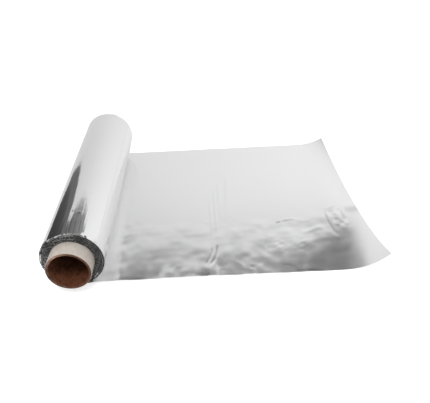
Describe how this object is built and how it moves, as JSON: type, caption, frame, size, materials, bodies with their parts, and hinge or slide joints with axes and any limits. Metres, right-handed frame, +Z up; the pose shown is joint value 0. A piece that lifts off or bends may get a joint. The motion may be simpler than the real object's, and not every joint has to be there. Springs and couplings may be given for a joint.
{
  "type": "aluminium foil roll",
  "caption": "Roll of aluminium foil wound on a card core that sticks out at both ends, lying with a length pulled out flat and its free corners curled up.",
  "frame": {"origin": "on the table, at the middle of the line where the roll rests", "axes": "+X along the pulled-out sheet, away from the roll; +Y along the roll's axis, away from the end that the picture shows; +Z up"},
  "size_m": [0.3795, 0.3384, 0.0689],
  "materials": {
    "foil": "bright rolled foil, mirror-like along the roll and softly brushed across it",
    "card": "spiral-wound card, pale outside and brown inside"
  },
  "bodies": {
    "root": {"foil_web": "foil", "card_core": "card"}
  },
  "joints": []
}
